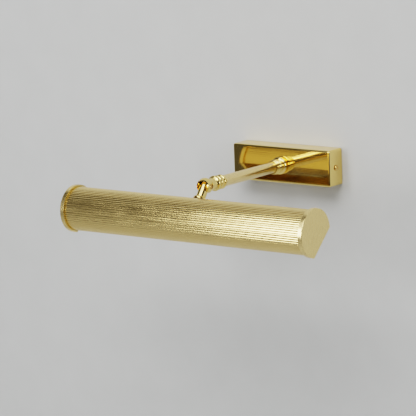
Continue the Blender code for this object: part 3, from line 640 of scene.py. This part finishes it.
def make_end_cap(name, side):
    """A D cut from a disc, drawn out, rounded and hollowed from behind."""
    node = "end_cap_" + name
    low, high = span(node, "x")
    inner, outer = (low, high) if side > 0 else (high, low)
    radius = span(node, "z")[1] - SHADE_AXIS.z
    chord = radius * math.cos(MOUTH_HALF)
    wall = radius - SHADE_RADIUS - 0.2 * MM
    deselect()
    bpy.ops.mesh.primitive_circle_add(vertices=160, radius=radius, fill_type="NGON")
    cap = bpy.context.object
    cap.name = cap.data.name = "cap_" + name
    lay(cap, facing(SHADE_AXIS + RIGHT * inner, RIGHT * side, MOUTH_OUT))
    edit(cap)
    bpy.ops.mesh.bisect(
        plane_co=SHADE_AXIS + MOUTH_OUT * chord,
        plane_no=MOUTH_OUT,
        clear_outer=True,
        use_fill=False,
    )
    bpy.ops.mesh.select_all(action="SELECT")
    bpy.ops.mesh.edge_face_add()
    bpy.ops.mesh.select_all(action="SELECT")
    bpy.ops.mesh.extrude_region_move(TRANSFORM_OT_translate={"value": (outer - inner, 0, 0)})
    mend(cap)
    points = cap.data.vertices
    corner = SHADE_AXIS + MOUTH_OUT * chord
    half_chord = math.sqrt(radius**2 - chord**2)

    def is_corner(edge):
        ends = [points[index].co for index in edge.vertices]
        lengthwise = abs(ends[0].x - ends[1].x) > abs(outer - inner) / 2
        far = min((end - corner).cross(RIGHT).length for end in ends) > half_chord - 0.1 * MM
        on_chord = abs((ends[0] - corner).dot(MOUTH_OUT)) < 0.1 * MM
        return lengthwise and far and on_chord

    def is_rim(edge):
        return all(abs(points[index].co.x - outer) < 0.01 * MM for index in edge.vertices)

    round_off(cap, is_corner, CAP_CORNER, 4)
    round_off(cap, is_rim, CAP_RIM, 5)
    edit(cap)
    bpy.ops.mesh.select_all(action="DESELECT")
    bpy.ops.object.mode_set(mode="OBJECT")

    def area_behind(face):
        return (face.normal.x * -side > 0.9) * face.area

    back_face = max(cap.data.polygons, key=area_behind)
    for polygon in cap.data.polygons:
        polygon.select = polygon.index == back_face.index
    bpy.ops.object.mode_set(mode="EDIT")
    bpy.ops.mesh.select_mode(type="FACE")
    bpy.ops.mesh.inset(thickness=wall)
    depth = abs(outer - inner) - CAP_SHEET
    bpy.ops.mesh.extrude_region_move(TRANSFORM_OT_translate={"value": (side * depth, 0, 0)})
    bpy.ops.mesh.select_mode(type="VERT")
    mend(cap)
    flatten(cap, 35)
    return dress(cap, HEAD, CAP_BRASS, "polished_brass", node)


for cap_name, cap_side in (("left", -1), ("right", 1)):
    make_end_cap(cap_name, cap_side)

# %% [markdown]
# ## The wall box
#
# The cover is drawn from one sheet, so its bends are round and its faces are dead flat and
# mirror-bright. It is a box without a back, rounded, and given its sheet thickness inwards. Smooth
# shading would bend the reflections right across the faces, so `flatten` gives each flat face its
# own normal and leaves the turning to the bends.

# %% Box cover
COVER_BEND = 2.1 * MM
COVER_SHEET = 1.0 * MM
ARM_HOLE, SCREW_HOLE = 5.2 * MM, 2.1 * MM


def make_cover():
    """A box open at the back, with round bends and holes for the arm and its screws."""
    low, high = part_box("box_cover")
    cover = block("cover", low, high)
    edit(cover)
    bpy.ops.mesh.select_mode(type="FACE")
    bpy.ops.mesh.select_all(action="DESELECT")
    bpy.ops.object.mode_set(mode="OBJECT")
    for polygon in cover.data.polygons:
        polygon.select = polygon.normal.y > 0.5
    bpy.ops.object.mode_set(mode="EDIT")
    bpy.ops.mesh.delete(type="ONLY_FACE")
    bpy.ops.mesh.select_mode(type="VERT")
    bpy.ops.object.mode_set(mode="OBJECT")
    bevel = cover.modifiers.new("Bends", "BEVEL")
    bevel.width = COVER_BEND
    bevel.segments = 6
    sheet = cover.modifiers.new("Sheet", "SOLIDIFY")
    sheet.thickness = COVER_SHEET
    sheet.offset = -1
    apply_all(cover)
    screw_y = middle("cover_screw_right").y
    reach = 3 * MM
    holes = [rod("hole", ARM_HOLE, (0, low[1] - MM, 0), (0, low[1] + reach, 0))]
    for end in (low[0], high[0]):
        holes.append(rod("hole", SCREW_HOLE, (end - reach, screw_y, 0), (end + reach, screw_y, 0)))
    carve(cover, *holes)
    flatten(cover, 28)
    return dress(cover, WALL, BOX_BRASS, "polished_brass", "box_cover")


make_cover()

# %% [markdown]
# ## The turned brass
#
# Between the box and the shade sit the turned pieces: a big bead against the box, a ring of three
# beads on the tube, the tube itself, and the beads on both sides of the swivel. Profiles repeat
# those of the mechanical parts with more points to a curve, so that light runs round them without
# a facet.

# %% Collar, rings and tube
GAP = 0.3 * MM
COVER_FRONT = -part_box("box_cover")[0][1]
BORE, TUBE = 5.0 * MM, 6.0 * MM


def turned_piece(name, profile, material, node, body, sides=96):
    """A ring or tube round the arm's axis."""
    piece = lathe(name, profile, (0, 0, 0), OUT, sides, hollow=True)
    return dress(piece, body, material, "polished_brass", node)


start = COVER_FRONT + GAP
collar = [(BORE, start + 5.6 * MM), (6.3 * MM, start + 5.6 * MM)]
collar += arc((6.9 * MM, start + 2.6 * MM), 2.6 * MM, 84, -90, 18) + [(BORE, start)]
turned_piece("wall_bead", collar, TURNED_BRASS, "wall_collar", WALL)

ring = start + 5.6 * MM + GAP
grip = 6.3 * MM
rings = [(grip, ring + 10.2 * MM), (6.85 * MM, ring + 10.2 * MM)]
rings += arc((6.6 * MM, ring + 8.6 * MM), 1.0 * MM, 70, -70, 10)
rings += arc((6.2 * MM, ring + 4.9 * MM), 1.9 * MM, 66, -60, 12)
rings += arc((6.3 * MM, ring + 1.4 * MM), 1.3 * MM, 60, -80, 12) + [(grip, ring)]
turned_piece("double_ring", rings, TURNED_BRASS, "collar_ring", WALL)

tube_low, tube_high = -span("arm_tube", "y")[1], -span("arm_tube", "y")[0]
tube = [(BORE, tube_high), (TUBE, tube_high), (TUBE, tube_low), (BORE, tube_low)]
turned_piece("straight_arm", tube, ARM_BRASS, "arm_tube", WALL, sides=128)

# %% Swivel beads
SWIVEL = -JOINTS["knuckle_swivel"]["pos_m"][1]
FERRULE_START = -span("arm_ferrule", "y")[1]
LOCK_END = -span("knuckle_lock_ring", "y")[0]
NIPPLE_HOLE = 5.0 * MM

ferrule = [(NIPPLE_HOLE, SWIVEL - GAP / 2), (6.7 * MM, SWIVEL - GAP / 2)]
ferrule += arc((6.0 * MM, SWIVEL - 2.6 * MM), 1.6 * MM, 62, -62, 14)
ferrule += arc((5.9 * MM, FERRULE_START + 2.7 * MM), 1.7 * MM, 64, -64, 14)
ferrule += [(6.5 * MM, FERRULE_START), (grip, FERRULE_START), (grip, tube_high + GAP)]
ferrule += [(NIPPLE_HOLE, tube_high + GAP)]
turned_piece("arm_bead", ferrule, TURNED_BRASS, "arm_ferrule", WALL)

lock_start = SWIVEL + GAP / 2
lock = [(NIPPLE_HOLE, LOCK_END), (6.6 * MM, LOCK_END)]
lock += arc((6.1 * MM, (lock_start + LOCK_END) / 2), 2.0 * MM, 64, -64, 18)
lock += [(6.8 * MM, lock_start), (NIPPLE_HOLE, lock_start)]
turned_piece("knuckle_bead", lock, TURNED_BRASS, "knuckle_lock_ring", KNUCKLE)

# %% [markdown]
# ## The knuckle
#
# A ball on a neck, with a round mouth in front that opens into a slot on its underside. The
# stem's round end sits inside between two cheeks, held by a small screw on each side. The ball is
# turned first, then bored and slotted, and the cut edges are eased as a file would ease them.

# %% Knuckle body
PIVOT_REACH = -PIVOT.y
BALL, NECK = 8.5 * MM, 5.9 * MM
SLOT_HALF = 5.3 * MM
SLOT_ROOM = 5.5 * MM
MOUTH = 6.2 * MM


def make_knuckle():
    """Turns the ball and its neck, then bores and slots them."""
    low = -span("knuckle_body", "y")[1]
    meet = math.degrees(math.acos(NECK / BALL))
    profile = [(POLE, PIVOT_REACH + BALL)]
    profile += arc((0, PIVOT_REACH), BALL, 88, -meet + 3, 44)
    profile += [(NECK, low + 1.7 * MM)]
    profile += arc((NECK + 0.9 * MM, low + 1.2 * MM), 0.9 * MM, 180, 245, 6)
    profile += [(NECK + 0.7 * MM, low), (POLE, low)]
    body = lathe("knuckle", profile, (0, 0, 0), OUT, sides=144)
    bore = rod("bore", NIPPLE_HOLE, OUT * (low - MM), OUT * (low + 5.8 * MM))
    way = rod("way", 3.4 * MM, OUT * (low + 4 * MM), OUT * PIVOT_REACH)
    reach = 12 * MM
    seat = rod("seat", SLOT_ROOM, PIVOT - RIGHT * SLOT_HALF, PIVOT + RIGHT * SLOT_HALF, 64)
    y = PIVOT.y
    front = block("front", (-SLOT_HALF, y - reach, -reach), (SLOT_HALF, y, SLOT_ROOM))
    below = block("below", (-SLOT_HALF, y - MM, -reach), (SLOT_HALF, y + SLOT_ROOM, 0))
    mouth = rod("mouth", MOUTH, PIVOT + OUT * 2.6 * MM, PIVOT + OUT * reach, 96)
    carve(body, bore, way, seat, front, below, mouth)
    for side in (-1, 1):
        outside = PIVOT + RIGHT * side * (BALL + 2 * MM)
        hole = rod("hole", 1.8 * MM, PIVOT + RIGHT * side * 4 * MM, outside)
        sink = rod("sink", 2.9 * MM, PIVOT + RIGHT * side * 6.9 * MM, outside)
        carve(body, hole, sink)
    ease = body.modifiers.new("Eased edges", "BEVEL")
    ease.width = 0.28 * MM
    ease.segments = 2
    ease.limit_method = "ANGLE"
    ease.angle_limit = math.radians(38)
    ease.use_clamp_overlap = True
    apply_all(body)
    clean(body)
    soften(body, 34)
    return dress(body, KNUCKLE, TURNED_BRASS, "polished_brass", "knuckle_body")


make_knuckle()

# %% [markdown]
# ## Stem and screws
#
# The stem is a thick tube with a rounded top. Below its shoulder it carries the thread that the
# nut inside the shade pulls on. The screws are small domed heads with a single slot.

# %% Stem and its collar
STEM = 5.0 * MM
THREAD = 4.0 * MM


def make_stem():
    """Turns the stem with its thread, then bores it for the leads and the screws."""
    shoulder, end = 26.3 * MM, 13.6 * MM
    profile = [(POLE, PIVOT_RADIUS + STEM)]
    profile += arc((0, PIVOT_RADIUS), STEM, 86, 0, 20)
    profile += [(STEM, shoulder + 0.3 * MM), (STEM - 0.3 * MM, shoulder)]
    profile += [(THREAD - 0.3 * MM, shoulder)]
    turns = 14
    for i in range(turns):
        top = shoulder - 0.6 * MM - i * (shoulder - end - 1.2 * MM) / turns
        profile += [(THREAD - 0.35 * MM, top), (THREAD, top - 0.4 * MM)]
    profile += [(THREAD - 0.4 * MM, end), (POLE, end)]
    stem = lathe("stem", profile, SHADE_AXIS, STEM_OUT, sides=96)
    bore = rod("bore", 2.6 * MM, SHADE_AXIS + STEM_OUT * (end - MM), PIVOT + STEM_OUT * MM)
    mouth = rod("mouth", 2.3 * MM, PIVOT, PIVOT - OUT * 7 * MM)
    carve(stem, bore, mouth)
    for side in (-1, 1):
        hole = rod("hole", 1.8 * MM, PIVOT + RIGHT * side * 3 * MM, PIVOT + RIGHT * side * 8 * MM)
        carve(stem, hole)
    clean(stem)
    soften(stem, 32)
    return dress(stem, HEAD, TURNED_BRASS, "polished_brass", "shade_stem")


def make_stem_collar():
    """The little foot between the stem and the shade."""
    hole = 4.3 * MM
    profile = [(hole, 2.5 * MM), (5.9 * MM, 2.5 * MM)]
    profile += arc((5.9 * MM, 1.4 * MM), 1.1 * MM, 90, 0, 8) + [(7.0 * MM, 0), (hole, 0)]
    seat = SHADE_AXIS + STEM_OUT * (SHADE_RADIUS + GAP)
    collar_piece = lathe("stem_foot", profile, seat, STEM_OUT, hollow=True)
    return dress(collar_piece, HEAD, TURNED_BRASS, "polished_brass", "stem_collar")


make_stem()
make_stem_collar()

# %% Slotted screws


def make_screw(name, node, place, along, head, rise, shank, length, body, turn):
    """A domed head with a straight slot, on a plain shank."""
    brim = 0.2 * rise
    profile = [(POLE, rise)]
    for radius, height in arc((0, brim), head, 85, 0, 12):
        profile.append((radius, brim + (height - brim) * 0.8 * rise / head))
    profile += [(head, 0.08 * rise), (head * 0.92, 0), (shank, 0), (shank, -length + 0.5 * MM)]
    profile += [(shank * 0.6, -length), (POLE, -length)]
    screw = lathe(name, profile, (0, 0, 0), UP, sides=48)
    reach, slot = head * 1.3, head * 0.14
    groove = block("groove", (-reach, -slot, rise * 0.45), (reach, slot, rise * 2))
    lay(groove, Matrix.Rotation(turn, 4, "Z"))
    carve(screw, groove)
    lay(screw, facing(place, along))
    soften(screw, 32)
    return dress(screw, body, SCREW_BRASS, "plain_brass", node)


SCREWS = {  # head radius, its rise, shank radius and length, body, and the turn of the slot
    "box_": ("cover_screw_", 3.0 * MM, 1.8 * MM, 1.7 * MM, 7 * MM, WALL, 0.9),
    "cheek_": ("pivot_screw_", 2.5 * MM, 1.3 * MM, 1.5 * MM, 3.9 * MM, KNUCKLE, 0.5),
}
for side_name, side in (("left", -1), ("right", 1)):
    for first_name, (node, head, rise, *rest) in SCREWS.items():
        node += side_name
        spot = middle(node)
        spot.x = span(node, "x")[1 if side > 0 else 0] - side * rise
        make_screw(first_name + node, node, spot, RIGHT * side, head, rise, *rest)

# %% [markdown]
# ## Finishes on the pieces kept from the mechanical model
#
# Nuts, washers, brackets and wiring keep their modelled shapes and get their real finishes.

# %% Dress the mechanical parts
KEPT = (
    (ZINC, "wall_bracket terminal_block_screw arm_lock_washer arm_lock_nut stem_lock_washer"),
    (ZINC, "stem_nut lamp_bracket lampholder_nut_left lampholder_nut_right"),
    (ZINC, "clamp_screw_live_upper clamp_screw_live_lower"),
    (ZINC, "clamp_screw_earth_upper clamp_screw_earth_lower"),
    (PLAIN_BRASS, "terminal_sleeve_live terminal_sleeve_earth terminal_sleeve_neutral_upper"),
    (PLAIN_BRASS, "terminal_sleeve_neutral_lower earth_screw arm_nipple swivel_nipple"),
    (NICKEL, "earth_tag lamp_cap_left lamp_cap_right"),
    (IVORY, "terminal_block"),
    (PHENOLIC, "lampholder_left lampholder_right"),
    (GLASS, "bulb_left bulb_right"),
    (SHEATH, "arm_flex lamp_lead_left lamp_lead_right"),
    (BROWN_CORE, "core_live"),
    (BLUE_CORE, "core_neutral"),
    (GREEN_CORE, "core_earth"),
)
for finish_material, node_names in KEPT:
    for node_name in node_names.split():
        for material_slot in frame["nodes"][node_name].material_slots:
            material_slot.material = finish_material
print("kept nodes dressed:", sum(len(names.split()) for _, names in KEPT))

# %% [markdown]
# ## The room
#
# The light hangs on a plain grey wall. Polished brass has no look of its own: it shows the room.
# So the room is built for its reflections. A tall soft light at the front left fills the right half
# of the shade with a white band, and a dimmer one above it carries the glow up the shade. The dark
# room beyond them leaves the left half olive. A small light at the right shows the end of the box
# and the right cap, and broad ones from above light the wall. The last stands behind the wall and
# shows the mounting plate through an opening that the box hides.

# %% Wall and floor
ROOM_SIZE = 7
PAINT_COLORS = (0.60, 0.605, 0.60), (0.62, 0.625, 0.62)


def paint(name, opening_node=None):
    """Matt grey paint, clear when seen from behind. It may be left out behind one piece."""
    finish = Finish(name)
    speckle = finish.span(finish.noise(180, detail=4), 0.3, 0.7)
    finish.set(
        Base_Color=finish.blend(speckle, *PAINT_COLORS),
        Roughness=0.9,
        Specular_IOR_Level=0.1,
    )
    unseen = finish.make("ShaderNodeNewGeometry", output=BACKFACING)
    if opening_node:
        point = finish.make("ShaderNodeTexCoord", output=OBJECT_POINT)
        _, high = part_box(opening_node)
        across = finish.make("ShaderNodeSeparateXYZ", {}, {"Vector": point}, 0)
        upward = finish.make("ShaderNodeSeparateXYZ", {}, {"Vector": point}, 1)
        opening = across.math("ABSOLUTE").math("LESS_THAN", high[0] / ROOM_SIZE)
        opening = opening * upward.math("ABSOLUTE").math("LESS_THAN", high[2] / ROOM_SIZE)
        unseen = unseen.math("MAXIMUM", opening)
    clear = finish.make("ShaderNodeBsdfTransparent")
    shown = Value(finish, finish.surface.outputs[0])
    mixed = finish.make("ShaderNodeMixShader", {}, {0: unseen, 1: shown, 2: clear})
    finish.tree.links.new(mixed.socket, finish.tree.nodes["Material Output"].inputs["Surface"])
    return finish.material


def make_plane(name, material, place):
    """A square of the room, which isn't part of the light."""
    deselect()
    bpy.ops.mesh.primitive_plane_add(size=1)
    plane = bpy.context.object
    plane.name = name
    plane.data.materials.append(material)
    plane.matrix_world = place @ Matrix.Diagonal((ROOM_SIZE, ROOM_SIZE, 1, 1))


make_plane("wall", paint("wall_paint", "wall_bracket"), facing((0, 0.4 * MM, 0), OUT, RIGHT))
make_plane("floor", paint("floor_paint"), facing((0, -2, -1.1), UP))
print("room: wall and floor,", ROOM_SIZE, "m")

# %% Lights


def soft_light(name, place, aim, width, height, power):
    """A rectangle of light that faces a point."""
    lamp = bpy.data.lights.new(name, "AREA")
    lamp.shape = "RECTANGLE"
    lamp.size, lamp.size_y = width, height
    lamp.energy = power
    light = bpy.data.objects.new(name, lamp)
    bpy.context.collection.objects.link(light)
    away = (Vector(place) - Vector(aim)).normalized()
    side = UP.cross(away).normalized()
    light.matrix_world = facing(place, away, side)


def reflected_light(name, edge_x, elevation, distance, width, height, power):
    """A light whose left side the shade mirrors at edge_x, seen from the camera."""
    lean = math.atan2(-back.x, math.hypot(back.y, back.z))
    rise = math.radians(elevation)
    out = Vector((0, -math.cos(rise), math.sin(rise)))
    left = SHADE_AXIS + out * distance + RIGHT * (edge_x + math.tan(lean) * distance)
    across = RIGHT * math.cos(lean) - out * math.sin(lean)
    soft_light(name, left + across * width / 2, SHADE_AXIS + RIGHT * 0.1, width, height, power)


reflected_light("front_softbox", 0.08, 9, 1.1, 0.50, 0.80, 7.2)
reflected_light("front_glow", 0.10, 42, 1.2, 0.6, 0.75, 1.5)
soft_light("right_softbox", direction(70, 11) * 1.5, (0, -0.02, 0), 0.5, 0.5, 4.0)
soft_light("top_softbox", (0.0, -1.9, 2.4), (0, 0, 0), 2.6, 1.8, 32)
soft_light("room_front", direction(20, 42) * 4.0, (0, 0, 0), 2.4, 1.6, 44)
soft_light("behind_wall", (-1.2, 2.0, 1.2), (0, 0, 0), 1.2, 1.2, 40)

world = bpy.data.worlds.new("room")
world.use_nodes = True
background = world.node_tree.nodes["Background"].inputs
background["Color"].default_value = (0.085, 0.085, 0.083, 1)
background["Strength"].default_value = 1.0
bpy.context.scene.world = world
